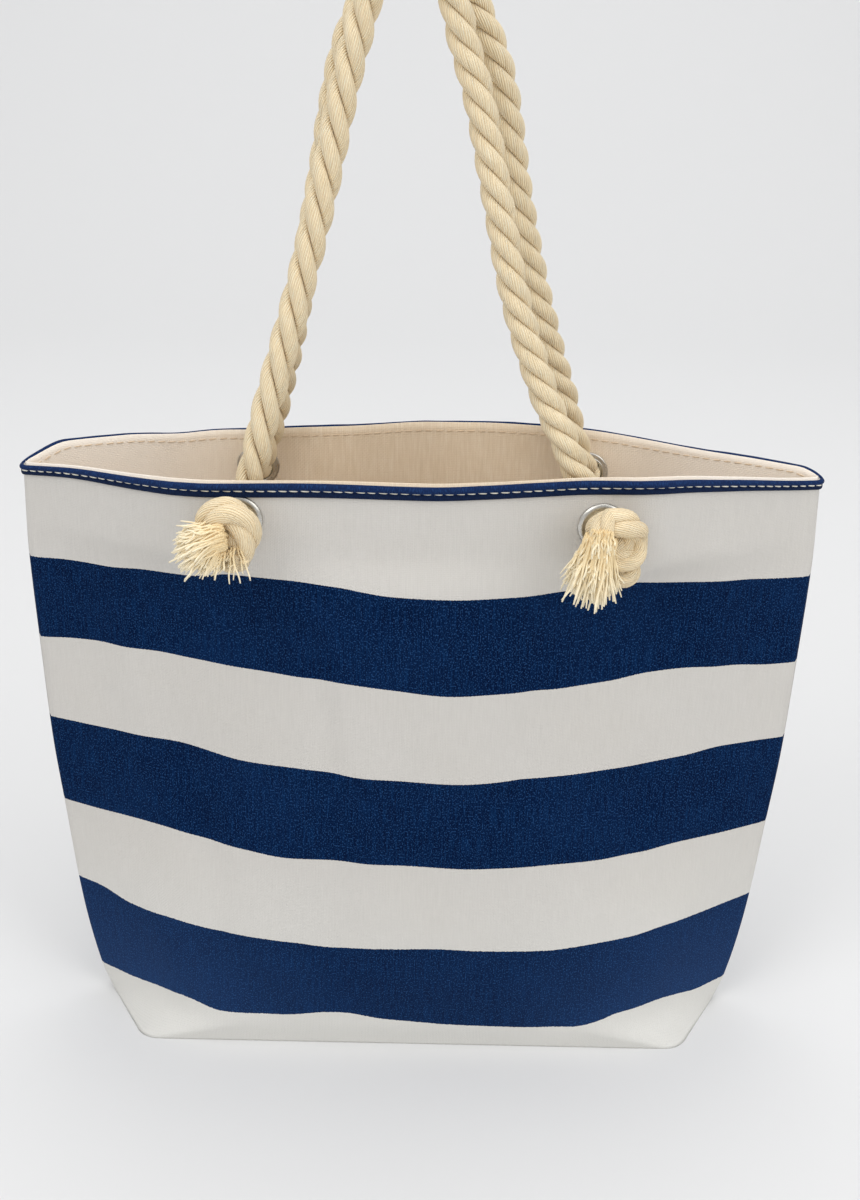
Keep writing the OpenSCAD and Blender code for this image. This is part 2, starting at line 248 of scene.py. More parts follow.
def half_cloth(name, side, e0, e1, up, inside=False):
    """one front or back half of the body: walls, half the sides and half the base, with real thickness"""
    # the columns meet the other half at the side seams
    t = np.linspace(-1, 1, COLS + 1)
    z = panel_rows()
    layers = []
    for e, z0 in ((e0, e0), (e1, e1)):
        tt, zz = np.meshgrid(t, z)
        zz = np.maximum(zz, z0)
        xr = section(np.full_like(t, 372.0), t, e)[0]
        top = rim_height(side, xr) + up
        # the last rows are spread between 334 mm and the rim
        k = smooth(0, 1, (z - 334) / 38.0)[:, None] * 0 + np.clip((z - 334) / 32.0, 0, 1)[:, None]
        zz = np.where(z[:, None] > 334, 334 + (top[None, :] - 334) * k, zz)
        x, y, nx, ny = body_point(side, tt, zz, e)
        wall = np.stack([x, y, zz], -1)
        q = np.linspace(1, 0, BASE_ROWS + 1)[:-1]
        b = wall[0]
        base = np.stack([np.stack([b[:, 0], b[:, 1] * (1 - s), np.full(len(b), z0)], -1) for s in q])
        layers.append(np.concatenate([base, wall]))
    n, m = layers[0].shape[:2]
    verts = np.concatenate([layers[0].reshape(-1, 3), layers[1].reshape(-1, 3)])
    N = n * m
    flip = side > 0
    out_f = grid_faces(n, m, 0, flip)
    in_f = grid_faces(n, m, N, not flip)
    i = np.arange(m - 1)
    o = (n - 1) * m
    top_f = np.stack([o + i, o + i + 1, N + o + i + 1, N + o + i], -1)
    if flip:
        top_f = top_f[:, ::-1]
    bot_f = np.stack([i + 1, i, N + i, N + i + 1], -1)
    if flip:
        bot_f = bot_f[:, ::-1]
    j = np.arange(n - 1)
    lf = np.stack([j * m, (j + 1) * m, N + (j + 1) * m, N + j * m], -1)
    rf = np.stack([(j + 1) * m + m - 1, j * m + m - 1, N + j * m + m - 1, N + (j + 1) * m + m - 1], -1)
    if flip:
        lf, rf = lf[:, ::-1], rf[:, ::-1]
    # flat-pattern coordinates in metres: across from the middle, and up from the base fold
    uv = []
    for L in layers:
        ds = np.linalg.norm(np.diff(L[:, :, :2], axis=1), axis=2)
        s = np.concatenate([np.zeros((n, 1)), np.cumsum(ds, 1)], 1)
        s = s - s[:, m // 2][:, None]
        s[:BASE_ROWS] = s[BASE_ROWS]
        v = print_height(side, L[:, :, 0], L[:, :, 2])
        y0 = np.abs(L[BASE_ROWS, :, 1])
        for r in range(BASE_ROWS):
            v[r] = -(y0 - np.abs(L[r, :, 1]))
        uv.append(np.stack([s * MM, v * MM], -1).reshape(-1, 2))
    uv = np.concatenate(uv)
    # round eyelet holes: faces inside are dropped, and the edge of the hole is drawn onto the circle
    keep = []
    R = 9.6
    for L, F in ((layers[0], out_f), (layers[1], in_f)):
        c = verts[F].mean(1)
        drop = np.zeros(len(F), bool)
        for ex, ez in ((-96.0, EYE_HEIGHT[side]), (96.0, EYE_HEIGHT[side])):
            drop |= np.hypot(c[:, 0] - ex, c[:, 2] - ez) < R
        keep.append(F[~drop])
    faces = np.concatenate([keep[0], keep[1], top_f, bot_f, lf, rf])
    used = {}
    for F in keep:
        cnt = {}
        for f in F:
            for a, b in zip(f, np.roll(f, -1)):
                cnt[(min(a, b), max(a, b))] = cnt.get((min(a, b), max(a, b)), 0) + 1
        for (a, b), k in cnt.items():
            if k == 1:
                for q in (a, b):
                    p = verts[q]
                    for ex, ez in ((-96.0, EYE_HEIGHT[side]), (96.0, EYE_HEIGHT[side])):
                        d = math.hypot(p[0] - ex, p[2] - ez)
                        if d < R + 6:
                            used[q] = (ex, ez, d)
    for q, (ex, ez, d) in used.items():
        s = R / d
        verts[q, 0] = ex + (verts[q, 0] - ex) * s
        verts[q, 2] = ez + (verts[q, 2] - ez) * s
    ob = make_mesh(name, verts, faces, loop_uv(faces, uv))
    return ob


# ---------------------------------------------------------------- materials


def lin(r, g, b):
    f = lambda c: c / 12.92 if c <= 0.04045 else ((c + 0.055) / 1.055) ** 2.4
    return (f(r / 255), f(g / 255), f(b / 255), 1.0)


class Mat:
    """short names for the nodes of one material"""

    def __init__(self, name, rough, sheen=0.0, metallic=0.0, gloss=0.5):
        self.m = bpy.data.materials.new(name)
        self.m.use_nodes = True
        self.nt = self.m.node_tree
        self.b = self.nt.nodes["Principled BSDF"]
        self.b.inputs["Roughness"].default_value = rough
        self.b.inputs["Metallic"].default_value = metallic
        self.b.inputs["Specular IOR Level"].default_value = gloss
        self.b.inputs["Sheen Weight"].default_value = sheen
        self.b.inputs["Sheen Roughness"].default_value = 0.5

    def node(self, kind, **props):
        n = self.nt.nodes.new(kind)
        for k, v in props.items():
            setattr(n, k, v)
        return n

    def link(self, a, b):
        self.nt.links.new(a, b)

    def put(self, sock, v):
        if isinstance(v, (int, float)):
            sock.default_value = v
        elif isinstance(v, tuple):
            sock.default_value = v
        else:
            self.link(v, sock)

    def math(self, op, a, b=0.0, c=0.0):
        n = self.node("ShaderNodeMath", operation=op)
        self.put(n.inputs[0], a)
        self.put(n.inputs[1], b)
        self.put(n.inputs[2], c)
        return n.outputs[0]

    def mix(self, fac, a, b, blend="MIX"):
        n = self.node("ShaderNodeMix", data_type="RGBA", blend_type=blend)
        self.put(n.inputs[0], fac)
        self.put(n.inputs[6], a)
        self.put(n.inputs[7], b)
        return n.outputs[2]

    def uv(self):
        n = self.node("ShaderNodeUVMap", uv_map="UVMap")
        s = self.node("ShaderNodeSeparateXYZ")
        self.link(n.outputs[0], s.inputs[0])
        return n.outputs[0], s.outputs[0], s.outputs[1]

    def noise(self, vec, scale, detail=3.0, rough=0.55, stretch=None):
        n = self.node("ShaderNodeTexNoise")
        n.inputs["Scale"].default_value = scale
        n.inputs["Detail"].default_value = detail
        n.inputs["Roughness"].default_value = rough
        if stretch is not None:
            m = self.node("ShaderNodeVectorMath", operation="MULTIPLY")
            self.link(vec, m.inputs[0])
            m.inputs[1].default_value = stretch
            vec = m.outputs[0]
        self.link(vec, n.inputs["Vector"])
        return n.outputs["Fac"]

    def ramp(self, fac, stops, interp="LINEAR"):
        n = self.node("ShaderNodeValToRGB")
        n.color_ramp.interpolation = interp
        el = n.color_ramp.elements
        while len(el) > 1:
            el.remove(el[-1])
        el[0].position, el[0].color = stops[0]
        for p, c in stops[1:]:
            e = el.new(p)
            e.color = c
        self.put(n.inputs[0], fac)
        return n.outputs[0]

    def bump(self, height, dist, strength=1.0, normal=None):
        n = self.node("ShaderNodeBump")
        n.inputs["Strength"].default_value = strength
        n.inputs["Distance"].default_value = dist
        self.put(n.inputs["Height"], height)
        if normal is not None:
            self.link(normal, n.inputs["Normal"])
        return n.outputs[0]

    def weave(self, u, v, pu, pv):
        """height of a plain weave with yarn spacings pu, pv in metres"""
        a = self.math("MULTIPLY", u, math.pi / pu)
        b = self.math("MULTIPLY", v, math.pi / pv)
        sa, sb = self.math("SINE", a), self.math("SINE", b)
        over = self.math("MULTIPLY", sa, sb)
        up = self.math("GREATER_THAN", over, 0.0)
        wa, wb = self.math("ABSOLUTE", sa), self.math("ABSOLUTE", sb)
        n = self.node("ShaderNodeMix", data_type="FLOAT")
        self.link(up, n.inputs[0])
        self.link(wb, n.inputs[2])
        self.link(wa, n.inputs[3])
        return n.outputs[0], up

    def done(self, colour, normal=None, rough=None):
        self.put(self.b.inputs["Base Color"], colour)
        if normal is not None:
            self.link(normal, self.b.inputs["Normal"])
        if rough is not None:
            self.link(rough, self.b.inputs["Roughness"])
        return self.m


def canvas_material():
    m = Mat("striped_canvas", 0.92, gloss=0.06)
    vec, u, v = m.uv()
    wob = m.math("SUBTRACT", m.noise(vec, 900, 2, 0.6, (1.0, 0.25, 1.0)), 0.5)
    vv = m.math("MULTIPLY_ADD", wob, 0.0011, v)
    f = m.math("MULTIPLY", vv, 1 / 0.4)
    w, n = (1, 1, 1, 1), (0, 0, 0, 1)
    stripe = m.ramp(f, [(0.0, w), (20 / 400, n), (78 / 400, w), (136 / 400, n), (194 / 400, w), (252 / 400, n), (310 / 400, w)], "CONSTANT")
    # vertical yarns of slightly different shade, and small flecks where the pale yarn shows through
    yarn = m.noise(vec, 1100, 2, 0.6, (1.0, 0.05, 1.0))
    fleck = m.noise(vec, 1350, 1, 0.5, (1.0, 0.7, 1.0))
    tone = m.noise(vec, 14, 3, 0.55)
    weave, up = m.weave(u, v, 0.00092, 0.00100)
    white = m.ramp(yarn, [(0.25, lin(207, 204, 199)), (0.5, lin(210, 207, 202)), (0.75, lin(213, 210, 205))])
    # painted shade: the white is darkened where the weave dips between yarns
    white = m.mix(m.math("MULTIPLY", m.math("SUBTRACT", 1.0, weave), 0.22), white, lin(182, 176, 166))
    white = m.mix(m.math("MULTIPLY", m.math("SUBTRACT", tone, 0.42), 0.35), white, lin(199, 192, 179))
    navy = m.ramp(yarn, [(0.3, lin(0, 17, 50)), (0.5, lin(0, 25, 61)), (0.72, lin(6, 42, 84))])
    flecks = m.math("MULTIPLY", m.math("GREATER_THAN", fleck, 0.59), 0.50)
    navy = m.mix(flecks, navy, lin(48, 90, 142))
    # painted shade: the navy is darkened where the weave dips between yarns
    navy = m.mix(m.math("MULTIPLY", m.math("SUBTRACT", 1.0, weave), 0.35), navy, lin(4, 14, 38))
    navy = m.mix(m.math("MULTIPLY", m.math("SUBTRACT", tone, 0.45), 0.6), navy, lin(22, 58, 106))
    # painted light: near the base the white is painted paler, and the navy too, most towards the side ends
    low = m.ramp(v, [(0.0, (1, 1, 1, 1)), (0.03, (0.75, 0.75, 0.75, 1)), (0.075, (0.42, 0.42, 0.42, 1)), (0.14, (0, 0, 0, 1))])
    white = m.mix(m.math("MULTIPLY", low, 0.55), white, lin(232, 232, 227))
    outer = m.ramp(m.math("ABSOLUTE", u), [(0.05, (0.28, 0.28, 0.28, 1)), (0.165, (1, 1, 1, 1))])
    navy = m.mix(m.math("MULTIPLY", m.math("MULTIPLY", low, outer), 0.44), navy, lin(56, 84, 132))
    colour = m.mix(stripe, navy, white)
    nrm = m.bump(weave, 0.00016, 0.55)
    nrm = m.bump(yarn, 0.00022, 0.35, nrm)
    return m.done(colour, nrm)


def lining_material():
    m = Mat("lining_cloth", 0.9, sheen=0.05, gloss=0.08)
    vec, u, v = m.uv()
    yarn = m.noise(vec, 700, 2, 0.6, (1.0, 0.08, 1.0))
    weft = m.noise(vec, 700, 2, 0.6, (0.08, 1.0, 1.0))
    tone = m.noise(vec, 11, 3, 0.5)
    weave, up = m.weave(u, v, 0.0011, 0.0011)
    c = m.ramp(yarn, [(0.25, lin(230, 212, 186)), (0.5, lin(238, 221, 197)), (0.75, lin(245, 231, 210))])
    c = m.mix(m.math("MULTIPLY", m.math("SUBTRACT", weft, 0.35), 0.4), c, lin(232, 208, 178))
    # painted shade: darker where the weave dips between yarns
    c = m.mix(m.math("MULTIPLY", m.math("SUBTRACT", 1.0, weave), 0.25), c, lin(212, 184, 150))
    c = m.mix(m.math("MULTIPLY", m.math("SUBTRACT", tone, 0.4), 0.4), c, lin(234, 208, 176))
    # painted light: the lining is painted paler towards both ends, where more light gets in
    ends = m.ramp(m.math("ABSOLUTE", u), [(0.06, (0, 0, 0, 1)), (0.16, (1, 1, 1, 1))])
    c = m.mix(m.math("MULTIPLY", ends, 0.82), c, lin(250, 242, 232))
    nrm = m.bump(weave, 0.0002, 0.6)
    nrm = m.bump(weft, 0.0002, 0.3, nrm)
    return m.done(c, nrm)


def band_material():
    m = Mat("navy_band", 0.75, gloss=0.16)
    vec, u, v = m.uv()
    yarn = m.noise(vec, 1600, 2, 0.6, (1.0, 0.3, 1.0))
    tone = m.noise(vec, 60, 3, 0.6)
    weave, up = m.weave(u, v, 0.0007, 0.0007)
    c = m.ramp(yarn, [(0.3, lin(4, 26, 66)), (0.5, lin(10, 38, 82)), (0.72, lin(30, 64, 112))])
    c = m.mix(m.math("MULTIPLY", m.math("SUBTRACT", tone, 0.4), 0.7), c, lin(6, 20, 50))
    # painted shade: the flat lower half of the band, below the top roll, is darkened
    c = m.mix(m.math("MULTIPLY", m.math("LESS_THAN", v, -0.0046), 0.6), c, lin(0, 12, 34))
    nrm = m.bump(weave, 0.00014, 0.5)
    nrm = m.bump(tone, 0.0006, 0.4, nrm)
    return m.done(c, nrm)


def thread_material(name, r, g, b):
    m = Mat(name, 0.8, sheen=0.1)
    co = m.node("ShaderNodeTexCoord")
    n = m.noise(co.outputs["Object"], 900, 2, 0.6)
    c = m.ramp(n, [(0.3, lin(r - 26, g - 26, b - 28)), (0.7, lin(r, g, b))])
    return m.done(c, m.bump(n, 0.0002, 0.5))


YARNS = 42


def rope_material(name, tint=0.0):
    m = Mat(name, 0.9, sheen=0.14, gloss=0.12)
    vec, u, v = m.uv()
    # fine yarns run nearly along the rope; u is the way round it and v the way along it
    a = m.math("MULTIPLY_ADD", m.math("SUBTRACT", m.noise(vec, 120, 2, 0.5, (1.0, 0.35, 1.0)), 0.5), 0.0009, u)
    s = m.math("SINE", m.math("MULTIPLY", a, 2 * math.pi / 0.00112))
    ridge = m.math("MULTIPLY_ADD", s, 0.5, 0.5)
    fib = m.noise(vec, 1300, 3, 0.6, (1.0, 0.14, 1.0))
    tone = m.noise(vec, 45, 3, 0.6, (1.0, 0.4, 1.0))
    # painted shade: the strands are darkened where they sink into the grooves between them, read from the crown
    # attribute
    crown = m.node("ShaderNodeAttribute", attribute_name="crown", attribute_type="GEOMETRY").outputs["Fac"]
    groove_shade = m.ramp(crown, [(0.40, (1, 1, 1, 1)), (0.54, (0.6, 0.6, 0.6, 1)), (0.66, (0.18, 0.18, 0.18, 1)), (0.80, (0, 0, 0, 1))])
    c = m.ramp(fib, [(0.25, lin(246, 226 - tint, 187 - 2 * tint)), (0.5, lin(254, 239 - tint, 205 - 2 * tint)), (0.75, lin(255, 250 - tint, 226 - 2 * tint))])
    # painted shade: darker between the yarn ridges
    c = m.mix(m.math("MULTIPLY", m.math("SUBTRACT", 1.0, ridge), 0.46), c, lin(222, 184, 126))
    c = m.mix(m.math("MULTIPLY", m.math("SUBTRACT", tone, 0.42), 0.5), c, lin(242, 216, 170))
    c = m.mix(m.math("MULTIPLY", groove_shade, 0.74), c, lin(146, 100, 48))
    nrm = m.bump(ridge, 0.0006, 0.85)
    nrm = m.bump(fib, 0.0004, 0.5, nrm)
    return m.done(c, nrm)


def yarn_material():
    m = Mat("loose_yarn", 0.9, sheen=0.06, gloss=0.12)
    vec, u, v = m.uv()
    n = m.noise(vec, 60, 2, 0.6)
    c = m.ramp(v, [(0.0, lin(238, 214, 168)), (0.45, lin(248, 230, 190)), (1.0, lin(255, 246, 220))])
    c = m.mix(m.math("MULTIPLY", n, 0.3), c, lin(230, 200, 148))
    return m.done(c, m.bump(n, 0.0002, 0.4))


def metal_material():
    m = Mat("eyelet_metal", 0.24, metallic=1.0)
    co = m.node("ShaderNodeTexCoord")
    n = m.noise(co.outputs["Object"], 420, 4, 0.65)
    big = m.noise(co.outputs["Object"], 60, 2, 0.5)
    c = m.ramp(big, [(0.3, lin(176, 173, 166)), (0.7, lin(208, 205, 198))])
    r = m.math("MULTIPLY_ADD", n, 0.18, 0.20)
    return m.done(c, m.bump(n, 0.00005, 0.3), r)


CANVAS, LINING, BAND = canvas_material(), lining_material(), band_material()
THREAD = thread_material("pale_thread", 238, 234, 222)
THREAD_IN = thread_material("lining_thread", 224, 202, 174)
ROPE, YARN, METAL = rope_material("cotton_rope"), yarn_material(), metal_material()
KNOT_ROPE = rope_material("cotton_rope_knot", 2)


def dress(ob, mat):
    ob.data.materials.clear()
    ob.data.materials.append(mat)
    return ob


# ---------------------------------------------------------------- camera, light and floor

scene = bpy.context.scene
cam = bpy.data.cameras.new("camera")
cam.lens = 1532.0 / 1200.0 * 36.0
cam.sensor_fit = "AUTO"
cam.sensor_width = 36.0
cam.clip_end = 100
cam_ob = bpy.data.objects.new("camera", cam)
scene.collection.objects.link(cam_ob)
from mathutils import Matrix

cam_ob.matrix_world = (
    Matrix.Translation((0.006, -0.792, 0.6695))
    @ Matrix.Rotation(math.radians(90 - 25.9), 4, "X")
    @ Matrix.Rotation(math.radians(1.2), 4, "Z")
)
scene.camera = cam_ob


def area(name, loc, target, size, energy, colour=(1, 1, 1)):
    li = bpy.data.lights.new(name, "AREA")
    li.shape = "RECTANGLE"
    li.size, li.size_y = size
    li.energy = energy
    li.color = colour
    ob = bpy.data.objects.new(name, li)
    scene.collection.objects.link(ob)
    from mathutils import Vector

    d = Vector(target) - Vector(loc)
    ob.matrix_world = Matrix.Translation(loc) @ d.to_track_quat("-Z", "Y").to_matrix().to_4x4()
    return ob


area("key", (-2.3, -2.2, 2.9), (0, 0, 0.2), (2.4, 2.4), 41, (1.0, 0.99, 0.975))
area("fill", (2.6, -1.9, 2.0), (0, 0, 0.2), (2.4, 2.4), 36, (1.0, 0.995, 0.985))
area("top", (0.1, 0.1, 3.0), (0, 0.1, 0.0), (3.0, 2.4), 44)
world = bpy.data.worlds.new("studio")
world.use_nodes = True
world.node_tree.nodes["Background"].inputs[0].default_value = (0.97, 0.98, 1.0, 1)
world.node_tree.nodes["Background"].inputs[1].default_value = 0.60
scene.world = world
scene.view_settings.view_transform = "Standard"
scene.view_settings.look = "None"

# floor that sweeps up into a wall behind the bag
sweep = [(-6000.0, 0.0), (1500.0, 0.0)]
sweep += [(1500 + 1400 * math.sin(math.radians(q)), 1400 - 1400 * math.cos(math.radians(q))) for q in range(6, 91, 6)]
sweep += [(2900.0, 6000.0)]
sv = [(x, y, z) for y, z in sweep for x in (-9000.0, 9000.0)]
fl = make_mesh("floor", sv, [(2 * i, 2 * i + 1, 2 * i + 3, 2 * i + 2) for i in range(len(sweep) - 1)])
fm = Mat("pale_floor", 0.9)
fm.b.inputs["Base Color"].default_value = (0.74, 0.74, 0.74, 1)
fm.b.inputs["Specular IOR Level"].default_value = 0.0
dress(fl, fm.m)


# ---------------------------------------------------------------- rope routes (same points as the CAD model, mm)

PIVOT_Z, WALL, PIVOT_Y = 398.0, 50.0, 36.0
FRONT_ROUTE = [(-84, 1, 0), (-78, 0.92, 22), (-64.5, 0.75, 69), (-52, 0.58, 118), (-42, 0.4, 165), (-35, 0.31, 192), (-26, 0.25, 219), (-9, 0.25, 228), (8, 0.25, 219), (17, 0.31, 190), (25, 0.4, 165), (35.5, 0.58, 118), (46.5, 0.75, 69), (63, 0.92, 22), (74, 1, 0)]
BACK_ROUTE = [(-81, 1, 0), (-75.5, 0.92, 22), (-66, 0.75, 67), (-56, 0.58, 114), (-47, 0.4, 163), (-40, 0.31, 190), (-27, 0.25, 216), (-8, 0.25, 228), (15, 0.25, 216), (30, 0.31, 190), (38.5, 0.4, 163), (47.5, 0.58, 114), (58.5, 0.75, 67), (71.5, 0.92, 22), (79, 1, 0)]


def rope_end_points(x0, x1, side):
    """from the knot, through the eyelet, up to the bending line"""
    eye = EYE_HEIGHT[side]
    xat = lambda z: x0 + (x1 - x0) * (1.3 * (z - eye) / (PIVOT_Z - eye) - 0.3 * ((z - eye) / (PIVOT_Z - eye)) ** 2)
    p = [(x0, -WALL - 4.2, eye), (x0, -WALL, eye)]
    for a in range(0, 91, 15):
        z = eye + 10 - 10 * math.cos(math.radians(a))
        p.append((xat(z), -WALL + 4 + 10 * math.sin(math.radians(a)), z))
    for k in (1, 2, 3):
        z = eye + 10 + (PIVOT_Z - eye - 10) * k / 4
        p.append((xat(z), -WALL + 14, z))
    return [(x, y * -side, z) for x, y, z in p]


def catmull(p, per=12):
    p = np.array(p, float)
    q = np.concatenate([[2 * p[0] - p[1]], p, [2 * p[-1] - p[-2]]])
    out = []
    for i in range(1, len(q) - 2):
        for u in np.arange(per) / per:
            a, b, c, d = q[i - 1], q[i], q[i + 1], q[i + 2]
            out.append(0.5 * (2 * b + (c - a) * u + (2 * a - 5 * b + 4 * c - d) * u * u + (3 * b - a - 3 * c + d) * u ** 3))
    out.append(p[-1])
    return np.array(out)


def resample(p, step):
    d = np.concatenate([[0], np.cumsum(np.linalg.norm(np.diff(p, axis=0), axis=1))])
    n = max(2, int(round(d[-1] / step)) + 1)
    s = np.linspace(0, d[-1], n)
    return np.stack([np.interp(s, d, p[:, k]) for k in range(3)], 1), d[-1]


def soften(p, reach):
    q = p.copy()
    for _ in range(reach):
        q[1:-1] = 0.25 * q[:-2] + 0.5 * q[1:-1] + 0.25 * q[2:]
    return q


def frames(p, ref=None):
    t = np.gradient(p, axis=0)
    t /= np.linalg.norm(t, axis=1)[:, None]
    u = np.zeros_like(p)
    r = np.array(ref if ref is not None else (1.0, 0, 0))
    if abs(t[0] @ r) > 0.9:
        r = np.array((0, 0, 1.0))
    u0 = np.cross(t[0], r)
    u[0] = u0 / np.linalg.norm(u0)
    for i in range(1, len(p)):
        a = u[i - 1] - t[i] * (u[i - 1] @ t[i])
        u[i] = a / np.linalg.norm(a)
    w = np.cross(t, u)
    return t, u, w


def strands(path, lay, core, rad, sides=20, phase=0.0, flatten=0.95, taper=None):
    """three strands laid round the path; lay is the length of one turn, as a number or one value a point"""
    n = len(path)
    d = np.concatenate([[0], np.cumsum(np.linalg.norm(np.diff(path, axis=0), axis=1))])
    t, u, w = frames(path)
    lay = np.broadcast_to(np.asarray(lay, float), (n,))
    turn = np.concatenate([[0], np.cumsum(np.diff(d) / lay[1:])]) * 2 * math.pi
    size = np.ones(n) if taper is None else taper
    verts, faces, uvs, crown = [], [], [], []
    for k in range(3):
        a = phase + 2 * math.pi * k / 3 - turn
        c = path + (core * size)[:, None] * (np.cos(a)[:, None] * u + np.sin(a)[:, None] * w)
        tt, _, _ = frames(c)
        out = (c - path) / (core * size)[:, None]
        side = np.cross(tt, out)
        side /= np.linalg.norm(side, axis=1)[:, None]
        out2 = np.cross(side, tt)
        b = np.linspace(0, 2 * math.pi, sides, endpoint=False)
        rr = (rad * size)[:, None, None]
        ring = c[:, None, :] + rr * (np.cos(b)[None, :, None] * out2[:, None, :] * flatten + np.sin(b)[None, :, None] * side[:, None, :] * 1.05)
        off = sum(len(v) for v in verts)
        v = ring.reshape(-1, 3)
        verts.append(v)
        f = grid_faces(n, sides, off, True, True)
        rel = ring - path[:, None, :]
        # crown: how far out from the rope axis each point lies; the rope material paints shade in the grooves from it
        crown.append((np.linalg.norm(rel, axis=2) / ((core + rad * flatten) * size)[:, None]).reshape(-1))
        ang = np.arctan2((rel * w[:, None, :]).sum(2), (rel * u[:, None, :]).sum(2))
        uvv = np.stack([ang, np.broadcast_to(d[:, None], ang.shape)], -1).reshape(-1, 2)
        q = uvv[f.ravel() - off].reshape(-1, 4, 2)
        hi = q[:, :, 0].max(1, keepdims=True)
        q[:, :, 0] = np.where(q[:, :, 0] < hi - math.pi, q[:, :, 0] + 2 * math.pi, q[:, :, 0])
        q[:, :, 0] *= YARNS * 0.00112 / (2 * math.pi)
        q[:, :, 1] *= MM
        faces.append(f)
        uvs.append(q.reshape(-1, 2))
        for end, rev in ((0, True), (n - 1, False)):
            cap = off + end * sides + np.arange(sides)
            m = len(verts[-1]) + off
            crown[-1] = np.append(crown[-1], 0.8)
            # closed ends: a fan to one point in the middle
            verts[-1] = np.concatenate([verts[-1], c[end][None, :] + (tt[end] * (rad * 0.35) * (-1 if end == 0 else 1))[None, :]])
            i = np.arange(sides)
            tri = np.stack([cap[i], cap[(i + 1) % sides], np.full(sides, m)], -1)
            tri = tri if end == 0 else tri[:, ::-1]
            faces.append(tri)
            uvs.append(np.tile([[0.0, 0.0]], (sides * 3, 1)))
    return verts, faces, uvs, crown


def strand_object(name, parts, mat):
    verts, faces, uvs, crown = [], [], [], []
    off = 0
    for V, F, U, C in parts:
        crown.extend(C)
        for f in F:
            faces.extend((f + off).tolist())
        verts.extend(V)
        off += sum(len(v) for v in V)
        uvs.extend(U)
    ob = make_mesh(name, np.concatenate(verts), faces, np.concatenate(uvs))
    at = ob.data.attributes.new("crown", "FLOAT", "POINT")
    at.data.foreach_set("value", np.concatenate(crown).astype(np.float32))
    return dress(ob, mat)


def handle(name, route, side, lays):
    left = rope_end_points(-96, route[0][0], side)
    right = rope_end_points(96, route[-1][0], side)[::-1]
    mid = [(x, -PIVOT_Y * q * -side, PIVOT_Z + h) for x, q, h in route]
    pts = catmull(left + mid + right, 10)
    pts, _ = resample(pts, 1.3)
    pts = soften(pts, 14)
    pts, length = resample(pts, 1.3)
    d = np.linspace(0, length, len(pts))
    lay = np.interp(d / length, lays[0], lays[1])
    ob = strand_object(name, [strands(pts, lay, 4.4, 3.8, 20, phase=0.5 + side, flatten=0.95)], ROPE)
    return ob, pts, length


# ---------------------------------------------------------------- build the pieces

shell_f = dress(half_cloth("cloth_outer_front", -1, 0.0, 1.1, -0.6), CANVAS)
shell_b = dress(half_cloth("cloth_outer_back", 1, 0.0, 1.1, -0.6), CANVAS)
lin_f = dress(half_cloth("cloth_lining_front", -1, 1.35, 2.3, 0.9), LINING)
lin_b = dress(half_cloth("cloth_lining_back", 1, 1.35, 2.3, 0.1), LINING)
for ob, node, slot_name in ((shell_f, "outer_front", "striped_canvas"), (shell_b, "outer_back", "striped_canvas"), (lin_f, "lining_front", "lining_cloth"), (lin_b, "lining_back", "lining_cloth")):
    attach(ob, "bag")
    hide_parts(node)


def band_scale(x):
    return 0.64 + 0.26 * (1 - smooth(120, 205, np.abs(x)))


def rim_strip(name, side):
    """turned band: a full roll along the top and a flat stitched lower half"""
    prof = [(0.25, -0.2), (-0.8, 0.25), (-1.9, -0.1), (-2.7, -1.1), (-2.9, -2.1), (-2.6, -3.1), (-1.9, -3.8), (-1.25, -4.2), (-1.35, -4.7), (-1.75, -5.3), (-1.8, -7.3), (-1.5, -8.1), (-0.9, -8.5), (0.25, -8.4)]
    n = 300
    t = np.linspace(-1, 1, n)
    xr = section(np.full_like(t, 372.0), t, 0.0)[0]
    top = rim_height(side, xr)
    rings, uvs = [], []
    x0, y0, _, _ = body_point(side, t, top - 4, 0.0)
    s = np.concatenate([[0], np.cumsum(np.hypot(np.diff(x0), np.diff(y0)))])
    puff = 1 + 0.10 * np.sin(s / 3.3 * 1.0) * np.sin(s / 17.0) + 0.06 * np.sin(s / 9.1)
    rise = 0.25 * np.sin(s / 21.0)
    low = band_scale(xr)
    flush = 1 - 0.35 * smooth(0.93, 1.0, np.abs(t))
    for k, (e, dz) in enumerate(prof):
        ee = e * np.where(e < -1.3, puff * flush, 1.0)
        z = top + dz * low + rise * (1 if dz > -4 else 0.4)
        x, y, nx, ny = body_point(side, t, z, ee)
        rings.append(np.stack([x, y, z], -1))
        uvs.append(np.stack([s * MM, np.full(n, dz * MM)], -1))
    R = np.stack(rings, 1)
    U = np.stack(uvs, 1)
    m = len(prof)
    f = grid_faces(n, m, 0, side < 0, True)
    caps = [list(range(m)) if side < 0 else list(range(m))[::-1], [(n - 1) * m + i for i in (range(m - 1, -1, -1) if side < 0 else range(m))]]
    faces = f.tolist() + caps
    uv = U.reshape(-1, 2)
    ob = make_mesh(name, R.reshape(-1, 3), faces, np.concatenate([uv[np.asarray(q)] for q in faces]))
    dress(ob, BAND)
    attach(ob, "bag")
    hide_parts("rim_band_front" if side < 0 else "rim_band_back")
    return ob, t, s, top


